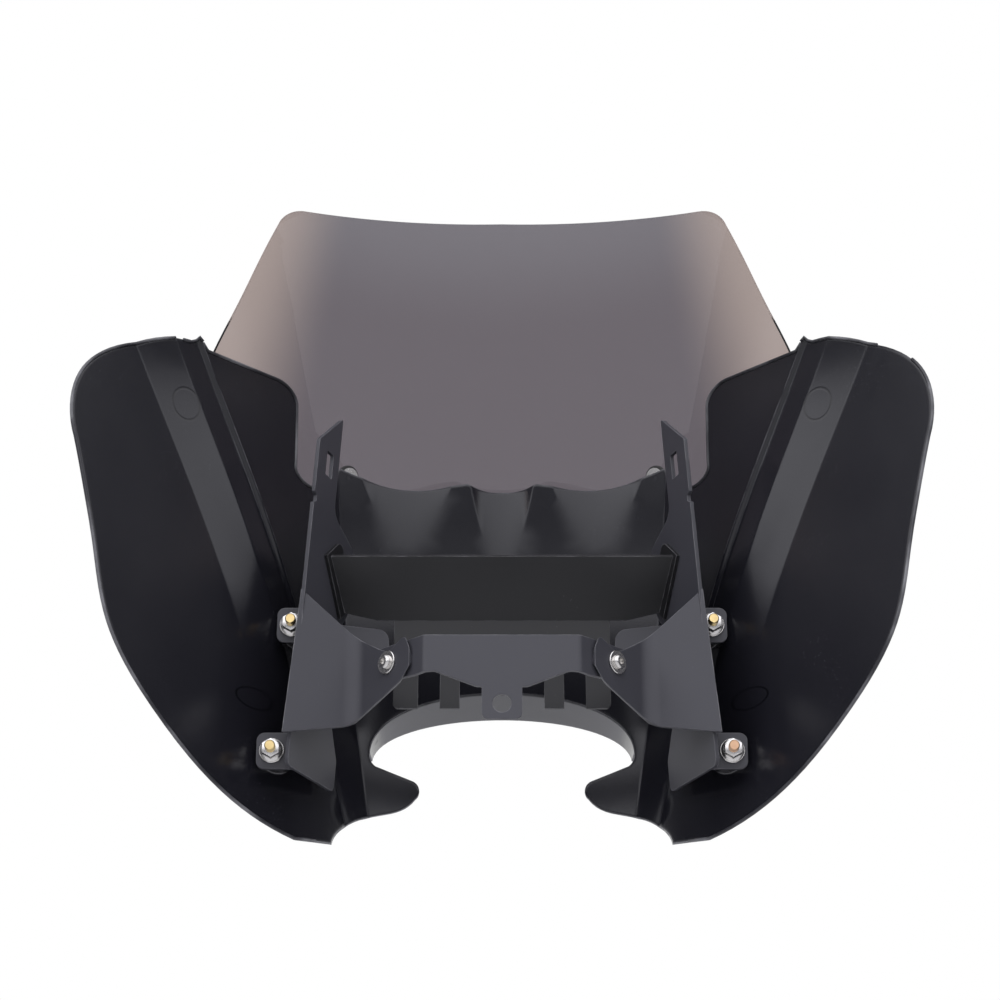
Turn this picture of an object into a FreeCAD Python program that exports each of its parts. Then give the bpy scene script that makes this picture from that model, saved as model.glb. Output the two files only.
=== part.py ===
import FreeCAD, Part
import math
import os

# Quarter fairing with a smoked windshield and its fork brackets.
# Millimetres. +Y is forward, +Z is up, +X is the rider's right hand.
# The origin is the centre of the mounting hole, on the rear face of the centre strap.

Vector = FreeCAD.Vector

# Fairing shell, a moulding of even wall. Its level sections run from the rim, over the
# raised band and the bead, to the front panel. Each list gives one line of the form,
# as (sideways, forward) pairs from the lowest level to the highest.
shell_wall = 3.5
shell_levels = [-100.0, 20.0, 119.0, 208.0, 310.0]
panel_front = [160.0, 166.0, 166.0, 156.0, 135.0]
corner_line = [(98, 150), (116, 154), (128, 152), (134, 141), (142, 105)]
bead_line = [(112, 136), (140, 118), (169, 76), (202, 40), (243, -26)]
band_inner_line = [(124, 118), (156, 92), (186, 46), (220, 12), (261, -50)]
band_outer_line = [(146, 94), (184, 56), (216, 20), (252, -14), (292, -74)]
rim_line = [(215, 0), (287, -75), (312, -96), (330, -108), (345, -150)]
bead_height = [0.0, 0.0, 3.0, 3.6, 3.6]
bead_half_width = 3.6
rim_run_out = 25.0

# Headlight arch and the hood that runs forward from it.
arch_half_width = 106.0
arch_spring = 6.0
arch_rise = 53.5
hood_length = 64.0
hood_taper = 6.0
hood_wall = 3.5
hood_rear = 150.0
hood_slope = 0.95

# Gauge recesses pressed forward into the front panel by upright tubes.
recess_outer_place = 70.0
recess_outer_front = 155.5
recess_outer_radius = 72.0
recess_middle_front = 162.0
recess_middle_radius = 36.0
recess_foot = 150.0
recess_height = 130.0

# Windshield, a bent sheet: part of a leaning cone whose front line is seen in the middle.
screen_sheet = 3.0
screen_base_level = 170.0
screen_base_front = 220.0
screen_lean = 25.0
screen_half_angle = 25.0
screen_apex_drop = 360.0
screen_cone_length = 950.0

# Brackets, bent sheet steel.
sheet = 3.0
side_origin = Vector(153.0, 30.0, 100.0)
side_toe_in = 20.0
side_lean = 4.0
comb_front = 96.0
comb_top = 97.0
comb_bottom = 25.0
comb_slot_place = 57.0
comb_slot_width = 17.0
comb_slot_top = 62.0
comb_gap_half = 33.0
comb_half = 85.0
apron_angle = 43.0
apron_length = 55.0
flange_length = 30.0

# Centre strap.
strap_half = 58.0
strap_end_angle = 45.0
strap_end_length = 50.0
strap_top = 53.0
strap_bottom = 25.0
strap_middle_bottom = 13.0
tab_half = 15.0
tab_bottom = -12.0
mount_hole_radius = 7.0

# Feet of the side brackets on moulded bosses, with studs, washers and flange nuts.
clearance = 0.3
foot_points = {"lower": (173.0, 50.0, -23.0), "upper": (162.0, 60.0, 80.0)}
foot_boss_radius = 11.0
foot_boss_reach = 60.0
foot_tab_half = 14.0
foot_tab_reach = 11.5
foot_stud_radius = 4.0
stud_grip = 13.0
stud_proud = 7.0
foot_washer = 1.6
foot_washer_radius = 9.5
foot_nut = 8.0
foot_nut_flats = 13.0
foot_nut_flange = 8.8

# Bolts of the cross bracket and the strap.
thin_washer = 1.6
cross_bolt_radius = 3.0
cross_bolt_place = (55.0, 38.0)
cross_washer_radius = 7.0
cross_head = 4.0
cross_nut = 5.0
cross_nut_flats = 10.0
strap_bolt_radius = 3.0
strap_bolt_along = 37.0
strap_bolt_level = 39.0
strap_washer_radius = 9.0
strap_head_radius = 5.6
strap_head = 3.3
strap_socket = 4.0
strap_bend = 6.0
gusset_tip = 13.0
gusset_valley = 75.0
gusset_root_angle = 26.0
gusset_root_length = 70.0
gusset_bend = 14.0

# Windshield screws, in metal inserts on posts of the shell, over rubber washers.
screw_radius = 2.5
screw_place = (129.0, 240.0)
screw_head_radius = 5.0
screw_head = 2.8
screw_socket = 3.0
screw_post_radius = 9.0
screw_post_length = 16.0
insert_radius = 3.5
insert_length = 3.0
insert_flange = 2.0
insert_flange_radius = 7.5
rubber_thickness = 2.5
rubber_radius = 9.5
rubber_gap = 0.25


def save(shape, node):
    shape.exportStep("parts/" + node + ".step")


def mirrored(shape):
    return shape.mirror(Vector(0, 0, 0), Vector(1, 0, 0))


def rounded_wire(corners, place):
    """Closed outline through (u, v, radius) corners, set in space by place(u, v)."""
    turns = []
    for index, (u, v, radius) in enumerate(corners):
        here = Vector(u, v, 0)
        before = Vector(*corners[index - 1][:2], 0)
        after = Vector(*corners[(index + 1) % len(corners)][:2], 0)
        back = (before - here).normalize()
        ahead = (after - here).normalize()
        half = back.getAngle(ahead) / 2
        reach = radius / math.tan(half)
        middle = here + (back + ahead).normalize() * (radius / math.sin(half) - radius)
        turns.append((here + back * reach, middle, here + ahead * reach, radius))
    edges = []
    for index, (start, middle, end, radius) in enumerate(turns):
        points = [place(p.x, p.y) for p in (start, middle, end)]
        if radius > 0:
            edges.append(Part.Arc(*points).toShape())
        following = turns[(index + 1) % len(turns)][0]
        edges.append(Part.LineSegment(points[2], place(following.x, following.y)).toShape())
    return Part.Wire(edges)


def plate(corners, place, thickness_vector):
    return Part.Face(rounded_wire(corners, place)).extrude(thickness_vector)


def cylinder(radius, start, direction, length):
    return Part.makeCylinder(radius, length, start, direction)


def hex_prism(across_flats, height):
    corner = across_flats / math.sqrt(3)
    points = []
    for index in range(7):
        angle = math.radians(60 * index)
        points.append(Vector(corner * math.cos(angle), corner * math.sin(angle), 0))
    return Part.Face(Part.makePolygon(points)).extrude(Vector(0, 0, height))


def placed(shape, point, axis):
    moved = shape.copy()
    moved.Placement = FreeCAD.Placement(point, FreeCAD.Rotation(Vector(0, 0, 1), axis))
    return moved


def washer(inner, outer, thickness):
    ring = Part.makeCylinder(outer, thickness)
    return ring.cut(Part.makeCylinder(inner, thickness))


# Fairing shell

def offset_line(points, distance):
    """A level polyline moved sideways by distance, with mitred corners."""
    normals = []
    for (x0, y0), (x1, y1) in zip(points[:-1], points[1:]):
        length = math.hypot(x1 - x0, y1 - y0)
        normals.append(((y0 - y1) / length, (x1 - x0) / length))
    moved = []
    for index, (x, y) in enumerate(points):
        first = normals[max(index - 1, 0)]
        second = normals[min(index, len(normals) - 1)]
        share = distance / (1 + first[0] * second[0] + first[1] * second[1])
        moved.append((x + (first[0] + second[0]) * share, y + (first[1] + second[1]) * share))
    return moved


def level_edges(half, front, level):
    """Edges from the left rim to the right rim, with an arc across the front panel."""
    right = [Vector(x, y, level) for x, y in half]
    left = [Vector(-x, y, level) for x, y in reversed(half)]
    edges = [Part.LineSegment(a, b).toShape() for a, b in zip(left[:-1], left[1:])]
    edges.append(Part.Arc(left[-1], Vector(0, front, level), right[0]).toShape())
    edges += [Part.LineSegment(a, b).toShape() for a, b in zip(right[:-1], right[1:])]
    return edges


def level_lines(index):
    """Inner and outer half lines of the wall at one level."""
    plain = [line[index] for line in (corner_line, bead_line, band_inner_line, band_outer_line, rim_line)]
    outer = offset_line(plain, shell_wall)
    corner, bead, band = Vector(*plain[0], 0), Vector(*plain[1], 0), Vector(*plain[2], 0)
    before = bead + (corner - bead).normalize() * bead_half_width
    after = bead + (band - bead).normalize() * bead_half_width
    peak = bead - (Vector(*outer[1], 0) - bead).normalize() * bead_height[index]
    ridge = [(p.x, p.y) for p in (before, peak, after)]
    return plain[:1] + ridge + plain[2:], outer


def shell_loft(lines, fronts):
    """Solid from the given level lines back to a chord across the open rear."""
    wires = []
    for half, front, level in zip(lines, fronts, shell_levels):
        edges = level_edges(half, front, level)
        left, right = Vector(-half[-1][0], half[-1][1], level), Vector(*half[-1], level)
        chord = Part.LineSegment(left, right).toShape()
        wires.append(Part.Wire(Part.__sortEdges__(edges + [chord])))
    return Part.makeLoft(wires, True, False)


def shell_lofts():
    """The outer form filled solid, and the hollow inside it, which runs out past the rim."""
    hollows = []
    outers = []
    for index in range(len(shell_levels)):
        inner, outer = level_lines(index)
        end, before = Vector(*inner[-1], 0), Vector(*inner[-2], 0)
        past = end + (end - before).normalize() * rim_run_out
        hollows.append(inner[:-1] + [(past.x, past.y)])
        outers.append(outer)
    outer_fronts = [front + shell_wall for front in panel_front]
    return shell_loft(outers, outer_fronts), shell_loft(hollows, panel_front)


def front_view(u, v):
    return Vector(u, -250, v)


def spline(points):
    curve = Part.BSplineCurve()
    curve.interpolate([front_view(x, z) for x, z in points])
    return curve.toShape()


def line(a, b):
    return Part.LineSegment(front_view(*a), front_view(*b)).toShape()


def arc(a, b, c):
    return Part.Arc(front_view(*a), front_view(*b), front_view(*c)).toShape()


def shell_outline():
    """Front view of the shell: panel edge, flap, wing rim, chin hook and headlight arch."""
    arch_end = (arch_half_width, arch_spring)
    ellipse = Part.Ellipse(front_view(*arch_end), front_view(0, arch_spring + arch_rise), front_view(0, arch_spring))
    half = [
        spline([(0, 233), (18, 233.5), (29, 236)]),
        spline([(29, 236), (52, 233), (112, 236), (134, 243)]),
        line((134, 243), (152, 217)),
        arc((152, 217), (163, 219), (167, 230)),
        line((167, 230), (167, 277)),
        arc((167, 277), (171, 287), (181, 291)),
        line((181, 291), (230, 287)),
        line((230, 287), (235, 293)),
        line((235, 293), (241, 288)),
        spline([(241, 288), (285, 266), (309, 235), (315, 205), (311, 176)]),
        spline([(311, 176), (302, 136), (294, 97), (281, 38), (247, -18), (196, -66), (157, -81)]),
        line((157, -81), (132, -76)),
        spline([(132, -76), (122, -57), (107, -48), (84, -42), (69, -31)]),
        arc((69, -31), (66, -23), (72, -16)),
        line((72, -16), (101, -5)),
        arc((101, -5), (105, 0), arch_end),
        Part.Arc(ellipse, 0, math.pi / 2).toShape(),
    ]
    edges = half + [mirrored(edge) for edge in half]
    return Part.Face(Part.Wire(Part.__sortEdges__(edges)))


def hood():
    """Arched hood from the front panel forward, longest over the headlight."""
    shells = []
    for extra in (hood_wall, 0.0):
        rings = []
        for forward, shrink in ((hood_rear, 0.0), (hood_rear + hood_length + 20, hood_taper)):
            width = arch_half_width - shrink / 2 + extra
            rise = arch_rise - shrink + extra
            centre = Vector(0, forward, arch_spring)
            ellipse = Part.Ellipse(centre + Vector(width, 0, 0), centre + Vector(0, 0, rise), centre)
            upper = Part.Arc(ellipse, 0, math.pi).toShape()
            base = Part.LineSegment(upper.valueAt(upper.LastParameter), upper.valueAt(upper.FirstParameter))
            rings.append(Part.Wire([upper, base.toShape()]))
        shells.append(Part.makeLoft(rings, True, True))
    band = shells[0].cut(shells[1])
    half_span = corner_line[1][0]
    bulge = panel_front[1] - corner_line[1][1]
    panel_radius = (half_span ** 2 + bulge ** 2) / (2 * bulge)
    middle = panel_front[1] + shell_wall / 2
    inside = Part.makeCylinder(panel_radius, 400, Vector(0, middle - panel_radius, -200))
    top = arch_spring + arch_rise + 20
    reach = hood_rear + 12
    front_face = [
        Vector(-200, reach, arch_spring - 20),
        Vector(-200, reach + 500, arch_spring - 20),
        Vector(-200, reach + 500, top),
        Vector(-200, reach + hood_slope * (top - arch_spring + 20), top),
    ]
    beyond = Part.Face(Part.makePolygon(front_face + front_face[:1])).extrude(Vector(400, 0, 0))
    return band.cut(inside).cut(beyond)


def recess_tubes(extra):
    """Upright tubes that press the gauge recesses into the leaning front panel."""
    places = (
        (-recess_outer_place, recess_outer_front, recess_outer_radius),
        (0.0, recess_middle_front, recess_middle_radius),
        (recess_outer_place, recess_outer_front, recess_outer_radius),
    )
    tubes = []
    for place, front, radius in places:
        foot = Vector(place, front - radius, recess_foot)
        tubes.append(cylinder(radius + extra, foot, Vector(0, 0, 1), recess_height))
    return tubes


def fairing_shell():
    filled, hollow = shell_lofts()
    outline = shell_outline().extrude(Vector(0, 600, 0))
    form = filled.fuse(recess_tubes(shell_wall))
    space = hollow.fuse(recess_tubes(0.0))
    shell = form.cut(space).common(outline).fuse(hood())
    posts = []
    for point in foot_points.values():
        boss = cylinder(foot_boss_radius, Vector(*point), Vector(0, 1, 0), foot_boss_reach)
        posts.append(boss.common(filled))
    seat, axis = screw_seat()
    post = cylinder(screw_post_radius, seat - axis * screw_post_length, axis, screw_post_length)
    posts.append(post.cut(space).common(outline))
    posts += [mirrored(post) for post in posts]
    holes = [cylinder(foot_stud_radius, Vector(*p), Vector(0, 1, 0), stud_grip) for p in foot_points.values()]
    holes.append(cylinder(insert_radius, seat - axis * insert_length, axis, insert_length))
    holes.append(cylinder(insert_flange_radius + clearance, seat, axis, screw_post_length))
    holes += [mirrored(hole) for hole in holes]
    return shell.fuse(posts).cut(holes).removeSplitter()


# Windshield

def screen_apex():
    """Tip of the windshield's cone, and the direction of its axis."""
    drop = Vector(0, screen_apex_drop * math.tan(math.radians(screen_lean)), -screen_apex_drop)
    tilt = math.radians(screen_lean + screen_half_angle)
    return Vector(0, screen_base_front, screen_base_level) + drop, Vector(0, -math.sin(tilt), math.cos(tilt))


def screen_cone(extra):
    apex, axis = screen_apex()
    half = math.radians(screen_half_angle)
    start = apex - axis * (extra / math.sin(half))
    return Part.makeCone(0, screen_cone_length * math.tan(half), screen_cone_length, start, axis)


def screen_point(across, level):
    """A point of the windshield's inner face, and the outward direction there."""
    apex, axis = screen_apex()
    half = math.radians(screen_half_angle)
    rise = level - apex.z
    square = axis.y ** 2 - math.cos(half) ** 2
    linear = 2 * axis.y * axis.z * rise
    rest = (axis.z * rise) ** 2 - math.cos(half) ** 2 * (across ** 2 + rise ** 2)
    depth = (-linear - math.sqrt(linear ** 2 - 4 * square * rest)) / (2 * square)
    point = Vector(across, apex.y + depth, level)
    arm = point - apex
    radial = (arm - axis * arm.dot(axis)).normalize()
    return point, radial * math.cos(half) - axis * math.sin(half)


def screw_seat():
    """Where the windshield screw's insert sits on the shell, and the screw's direction."""
    point, outward = screen_point(*screw_place)
    return point - outward * (rubber_gap + rubber_thickness + insert_flange), outward


def windshield():
    half = [
        spline([(0, 448.5), (84, 445), (162, 438)]),
        arc((162, 438), (175, 433), (184, 421)),
        spline([(184, 421), (200, 384), (213, 350), (224, 321), (231, 300)]),
        spline([(231, 300), (229, 276), (214, 236), (205, 222)]),
        arc((205, 222), (195, 210), (180, 205)),
        line((180, 205), (0, 205)),
    ]
    edges = half + [mirrored(edge) for edge in half]
    outline = Part.Face(Part.Wire(Part.__sortEdges__(edges))).extrude(Vector(0, 600, 0))
    outline = outline.cut(Part.makeBox(800, 230, 800, Vector(-400, -260, -100)))
    screen = screen_cone(screen_sheet).cut(screen_cone(0.0)).common(outline)
    point, outward = screen_point(*screw_place)
    hole = cylinder(screw_radius + clearance, point - outward * 10, outward, 20)
    return screen.cut([hole, mirrored(hole)])


# Side brackets

def side_frame():
    return FreeCAD.Placement(side_origin, FreeCAD.Rotation(side_toe_in, -side_lean, 0))


def in_side_frame(shape):
    moved = shape.copy()
    moved.Placement = side_frame()
    return moved


def beyond_side(offset):
    """Everything outward of a plane parallel to the side plate."""
    return in_side_frame(Part.makeBox(300, 800, 800, Vector(offset, -400, -400)))


def within_side(offset):
    return in_side_frame(Part.makeBox(300, 800, 800, Vector(offset - 300, -400, -400)))


def side_place(u, v):
    return Vector(-sheet, u, v)


def strap_line(along, off):
    """Level point on the strap's slanted end: distance along it, and off it to the rear."""
    angle = math.radians(strap_end_angle)
    x = strap_half + along * math.cos(angle) + off * math.sin(angle)
    return Vector(x, along * math.sin(angle) - off * math.cos(angle), 0)


def gusset():
    """Folded wing of the side bracket: it reaches in from the rear edge to the strap."""
    tip = strap_line(gusset_tip, 0)
    valley = strap_line(gusset_valley, 0)
    slope = math.radians(gusset_root_angle)
    root = valley + Vector(math.cos(slope), -math.sin(slope), 0) * gusset_root_length
    inner = [(p.x, p.y) for p in (tip, valley, root)]
    outer = offset_line(inner, -sheet)
    points = [Vector(x, y, -60) for x, y in inner + outer[::-1]]
    folded = Part.Face(Part.makePolygon(points + points[:1])).extrude(Vector(0, 0, 220))
    folds = [edge for edge in folded.Edges if abs(edge.BoundBox.XLength) < 1e-6 and abs(edge.BoundBox.YLength) < 1e-6]
    folds = [edge for edge in folds if (edge.CenterOfMass - Vector(valley.x, valley.y, 50)).Length < 2 * sheet]
    folds.sort(key=lambda edge: edge.CenterOfMass.y)
    folded = folded.makeFillet(gusset_bend, folds[:1])
    outline = [(185, 125, 0), (92, 51, 4), (85, 47, 2), (73, 57, 3), (66, 36, 8), (76, 21, 10), (107, 2, 30),
               (118, -4, 30), (185, -20, 0)]
    return folded.common(plate(outline, front_view, Vector(0, 500, 0)))


def side_bracket():
    upright = [(0, -138, 6), (84, -138, 5), (84, -114, 8), (58, -70, 20), (58, -25, 18), (80, 5, 8), (80, 58, 8),
               (38, 74, 14), (38, 156, 1.5), (0, 124, 2), (0, 80, 0.8), (4, 78, 0.8), (4, 73, 0.8), (0, 71, 0.8)]
    body = in_side_frame(plate(upright, side_place, Vector(sheet, 0, 0)))
    window = [(15, 100, 1), (27, 100, 1), (27, 120, 1), (15, 120, 1)]
    cuts = [in_side_frame(plate(window, side_place, Vector(sheet, 0, 0)))]
    pieces = [gusset().cut(beyond_side(0))]
    for x, y, z in foot_points.values():
        tab = [(110, z - foot_tab_half, 0), (x + foot_tab_reach, z - foot_tab_half, 6),
               (x + foot_tab_reach, z + foot_tab_half, 6), (110, z + foot_tab_half, 0)]
        ear = plate(tab, lambda u, v: Vector(u, y - sheet, v), Vector(0, sheet, 0))
        pieces.append(ear.cut(within_side(-sheet / 2)))
        cuts.append(cylinder(foot_stud_radius + clearance, Vector(x, y - 2 * sheet, z), Vector(0, 1, 0), 3 * sheet))
    lap = [(160, 48, 0), (160, 97, 0), (comb_half + 4, 89, 10), (comb_half + 4, 48, 6)]
    inward = plate(lap, lambda u, v: Vector(u, comb_front, v), Vector(0, sheet, 0))
    pieces.append(inward.cut(beyond_side(-sheet / 2)))
    cuts.append(cross_bolt_hole())
    cuts.append(strap_bolt_hole())
    return body.fuse(pieces).cut(cuts).removeSplitter()


def cross_bolt_axis():
    """Point on the outer face of the side plate, and the outward direction."""
    frame = side_frame()
    point = frame.multVec(Vector(0, *cross_bolt_place))
    return point, frame.Rotation.multVec(Vector(1, 0, 0))


def cross_bolt_hole():
    point, outward = cross_bolt_axis()
    return cylinder(cross_bolt_radius + clearance, point - outward * 30, outward, 60)


def strap_bolt_axis():
    """Point on the rear face of the gusset's tip, and the direction to the rear."""
    seat = strap_line(strap_bolt_along, sheet)
    rearward = seat - strap_line(strap_bolt_along, 0)
    return seat + Vector(0, 0, strap_bolt_level), rearward.normalize()


def strap_bolt_hole():
    point, rearward = strap_bolt_axis()
    return cylinder(strap_bolt_radius + clearance, point - rearward * 20, rearward, 40)


# Cross bracket: comb, apron and end flanges from one sheet

def cross_bracket():
    rise = math.radians(apron_angle)
    up = Vector(0, -math.sin(rise), math.cos(rise))
    forward = Vector(0, math.cos(rise), math.sin(rise))
    base = Vector(0, comb_front, comb_top)
    apron_outline = [(-200, apron_length, 0), (200, apron_length, 0), (200, 26, 0), (comb_half + 13, 0, 4),
                     (-comb_half - 13, 0, 4), (-200, 26, 0)]
    apron = plate(apron_outline, lambda u, v: base + Vector(u, 0, 0) + up * v, forward * sheet)
    outside = beyond_side(-sheet)
    apron = apron.cut([outside, mirrored(outside)])
    comb_outline = [(-comb_half, comb_top + 1, 0), (comb_half, comb_top + 1, 0), (comb_half, comb_bottom, 4),
                    (-comb_half, comb_bottom, 4)]
    comb = plate(comb_outline, lambda u, v: Vector(u, comb_front, v), Vector(0, sheet, 0))
    half = comb_slot_width / 2
    slot = [(comb_slot_place - half, comb_bottom - 5, 0), (comb_slot_place + half, comb_bottom - 5, 0),
            (comb_slot_place + half, comb_slot_top, half - 0.2), (comb_slot_place - half, comb_slot_top, half - 0.2)]
    slot = plate(slot, lambda u, v: Vector(u, comb_front - sheet, v), Vector(0, 3 * sheet, 0))
    gap = [(-comb_gap_half, comb_bottom - 5, 0), (comb_gap_half, comb_bottom - 5, 0),
           (comb_gap_half, comb_slot_top, 10), (-comb_gap_half, comb_slot_top, 10)]
    gap = plate(gap, lambda u, v: Vector(u, comb_front - sheet, v), Vector(0, 3 * sheet, 0))
    comb = comb.cut([slot, mirrored(slot), gap])
    frame = side_frame().inverse()
    low = frame.multVec(Vector(side_origin.x, comb_front, comb_top))
    high = frame.multVec(Vector(side_origin.x, (base + up * apron_length).y, (base + up * apron_length).z))
    along = Vector(0, high.y - low.y, high.z - low.z).normalize()
    across = Vector(0, along.z, -along.y) * flange_length
    corners = [(high, 0), (low, 0), (low + across, 7), (high + across, 7)]
    ear = plate([(p.y, p.z, r) for p, r in corners], lambda u, v: Vector(-2 * sheet, u, v), Vector(sheet, 0, 0))
    ear = in_side_frame(ear)
    hole = cross_bolt_hole()
    bracket = apron.fuse([comb, ear, mirrored(ear)])
    return bracket.cut([hole, mirrored(hole)]).removeSplitter()


# Centre strap

def centre_strap():
    end = strap_line(strap_end_length, 0)
    rear = [(-end.x, end.y), (-strap_half, 0), (strap_half, 0), (end.x, end.y)]
    front = offset_line(rear, sheet)
    points = [Vector(x, y, tab_bottom - 10) for x, y in rear + front[::-1]]
    folded = Part.Face(Part.makePolygon(points + points[:1])).extrude(Vector(0, 0, 90))
    bends = [edge for edge in folded.Edges if edge.BoundBox.ZLength > 80]
    rear_bends = [edge for edge in bends if abs(edge.CenterOfMass.y) < 1e-6]
    folded = folded.makeFillet(strap_bend, rear_bends)
    half = [(end.x + 5, strap_top, 8), (end.x + 5, strap_bottom + 2, 8), (strap_half + 6, strap_bottom - 1, 10),
            (strap_half - 8, strap_bottom, 8), (tab_half + 4, strap_middle_bottom, 6),
            (tab_half, strap_middle_bottom, 1), (tab_half, tab_bottom, 5)]
    outline = half + [(-x, z, r) for x, z, r in reversed(half)]
    strap = folded.common(plate(outline, front_view, Vector(0, 500, 0)))
    holes = [strap_bolt_hole(), mirrored(strap_bolt_hole())]
    holes.append(cylinder(mount_hole_radius, Vector(0, -20, 0), Vector(0, 1, 0), 40))
    return strap.cut(holes).removeSplitter()


# Fasteners, each made along +Z from its seat

def flange_nut(bore, across_flats, height, flange):
    body = hex_prism(across_flats, height)
    skirt = Part.makeCone(flange, across_flats * 0.52, height * 0.32)
    return body.fuse(skirt).cut(Part.makeCylinder(bore, height)).removeSplitter()


def hex_nut(bore, across_flats, height):
    return hex_prism(across_flats, height).cut(Part.makeCylinder(bore, height))


def hex_bolt(radius, length, across_flats, head):
    shank = Part.makeCylinder(radius, length, Vector(0, 0, -length))
    return hex_prism(across_flats, head).fuse(shank).removeSplitter()


def button_bolt(radius, length, head_radius, head, socket):
    """Tapered head with a hexagon socket."""
    top = Part.makeCone(head_radius, head_radius * 0.62, head)
    key = hex_prism(socket, head)
    key.translate(Vector(0, 0, head * 0.4))
    shank = Part.makeCylinder(radius, length, Vector(0, 0, -length))
    return top.cut(key).fuse(shank).removeSplitter()


def stud(radius, length):
    rod = Part.makeCylinder(radius, length)
    tip = [edge for edge in rod.Edges if edge.Closed and abs(edge.CenterOfMass.z - length) < 1e-6]
    return rod.makeChamfer(radius * 0.18, tip)


def insert():
    """Flanged metal insert that takes the windshield screw."""
    body = Part.makeCylinder(insert_flange_radius, insert_flange)
    body = body.fuse(Part.makeCylinder(insert_radius, insert_length, Vector(0, 0, -insert_length)))
    bore = Part.makeCylinder(screw_radius, insert_length + insert_flange, Vector(0, 0, -insert_length))
    return body.cut(bore).removeSplitter()


def save_pair(shape, name):
    save(shape, "right_" + name)
    save(mirrored(shape), "left_" + name)


def fasteners():
    rear = Vector(0, -1, 0)
    for name, (x, y, z) in foot_points.items():
        seat = Vector(x, y - sheet, z)
        reach = stud_grip + sheet + foot_washer + foot_nut + stud_proud
        save_pair(placed(stud(foot_stud_radius, reach), Vector(x, y + stud_grip, z), rear), name + "_foot_stud")
        ring = washer(foot_stud_radius + clearance, foot_washer_radius, foot_washer)
        save_pair(placed(ring, seat, rear), name + "_foot_washer")
        nut = flange_nut(foot_stud_radius, foot_nut_flats, foot_nut, foot_nut_flange)
        save_pair(placed(nut, seat + rear * foot_washer, rear), name + "_foot_nut")
    point, outward = cross_bolt_axis()
    ring = washer(cross_bolt_radius + clearance, cross_washer_radius, thin_washer)
    save_pair(placed(ring, point, outward), "cross_washer")
    length = thin_washer + 2 * sheet + cross_nut + 2
    bolt = hex_bolt(cross_bolt_radius, length, cross_nut_flats, cross_head)
    save_pair(placed(bolt, point + outward * thin_washer, outward), "cross_bolt")
    nut = hex_nut(cross_bolt_radius, cross_nut_flats, cross_nut)
    save_pair(placed(nut, point - outward * (2 * sheet), outward * -1), "cross_nut")
    point, rearward = strap_bolt_axis()
    ring = washer(strap_bolt_radius + clearance, strap_washer_radius, thin_washer)
    save_pair(placed(ring, point, rearward), "strap_washer")
    length = thin_washer + 2 * sheet + cross_nut + 3
    bolt = button_bolt(strap_bolt_radius, length, strap_head_radius, strap_head, strap_socket)
    save_pair(placed(bolt, point + rearward * thin_washer, rearward), "strap_bolt")
    nut = hex_nut(strap_bolt_radius, cross_nut_flats, cross_nut)
    save_pair(placed(nut, point - rearward * (2 * sheet), rearward * -1), "strap_nut")
    seat, outward = screw_seat()
    save_pair(placed(insert(), seat, outward), "screen_insert")
    ring = washer(screw_radius + clearance, rubber_radius, rubber_thickness)
    save_pair(placed(ring, seat + outward * insert_flange, outward), "screen_rubber_washer")
    point, outward = screen_point(*screw_place)
    length = screen_sheet + rubber_gap + rubber_thickness + insert_flange + insert_length
    screw = button_bolt(screw_radius, length, screw_head_radius, screw_head, screw_socket)
    save_pair(placed(screw, point + outward * screen_sheet, outward), "screen_screw")


os.makedirs("parts", exist_ok=True)
save(fairing_shell(), "fairing_shell")
save(windshield(), "windshield")
save_pair(side_bracket(), "side_bracket")
save(cross_bracket(), "cross_bracket")
save(centre_strap(), "centre_strap")
fasteners()
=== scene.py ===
import math

import bmesh
import bpy
from mathutils import Matrix, Vector


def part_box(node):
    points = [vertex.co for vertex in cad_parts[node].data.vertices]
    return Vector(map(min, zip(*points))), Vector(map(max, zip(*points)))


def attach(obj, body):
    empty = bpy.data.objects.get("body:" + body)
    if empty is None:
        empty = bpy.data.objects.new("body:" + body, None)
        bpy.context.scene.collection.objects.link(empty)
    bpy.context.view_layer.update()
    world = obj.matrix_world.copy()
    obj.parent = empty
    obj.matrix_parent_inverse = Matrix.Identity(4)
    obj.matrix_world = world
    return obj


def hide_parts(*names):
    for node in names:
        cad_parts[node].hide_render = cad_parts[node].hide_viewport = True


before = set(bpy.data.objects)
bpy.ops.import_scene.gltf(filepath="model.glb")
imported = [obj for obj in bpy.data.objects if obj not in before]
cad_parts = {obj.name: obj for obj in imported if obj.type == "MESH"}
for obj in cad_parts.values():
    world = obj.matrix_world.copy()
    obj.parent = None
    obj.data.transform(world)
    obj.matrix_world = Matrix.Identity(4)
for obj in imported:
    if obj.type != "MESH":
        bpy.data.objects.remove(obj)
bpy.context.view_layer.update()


# Fairing shell: one thin moulding of black plastic, satin on its inner side and glossier outside.
# Its edges are painted paler, partly as rubbing and partly as painted highlight, its trimmed edge is pale as
# painted highlight, and dust shows on the black.
# It is a smooth copy of the solid, because the solid's triangles are loose.

millimetre = 0.001
join_distance = 0.002 * millimetre


def smooth_copy(node, name, sharp_degrees):
    """Copy of a solid with its triangles joined, smooth except at edges sharper than the angle."""
    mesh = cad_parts[node].data.copy()
    solid = bmesh.new()
    solid.from_mesh(mesh)
    bmesh.ops.remove_doubles(solid, verts=solid.verts, dist=join_distance)
    sharp = math.radians(sharp_degrees)
    for face in solid.faces:
        face.smooth = True
    for edge in solid.edges:
        edge.smooth = len(edge.link_faces) == 2 and edge.calc_face_angle() < sharp
    solid.to_mesh(mesh)
    solid.free()
    if "custom_normal" in mesh.attributes:
        mesh.attributes.remove(mesh.attributes["custom_normal"])
    mesh.materials.clear()
    piece = bpy.data.objects.new(name, mesh)
    bpy.context.scene.collection.objects.link(piece)
    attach(piece, "root")
    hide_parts(node)
    return piece


def new_material(name):
    material = bpy.data.materials.new(name)
    material.use_nodes = True
    nodes = material.node_tree.nodes
    return material, nodes, material.node_tree.links, nodes["Principled BSDF"]


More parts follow.
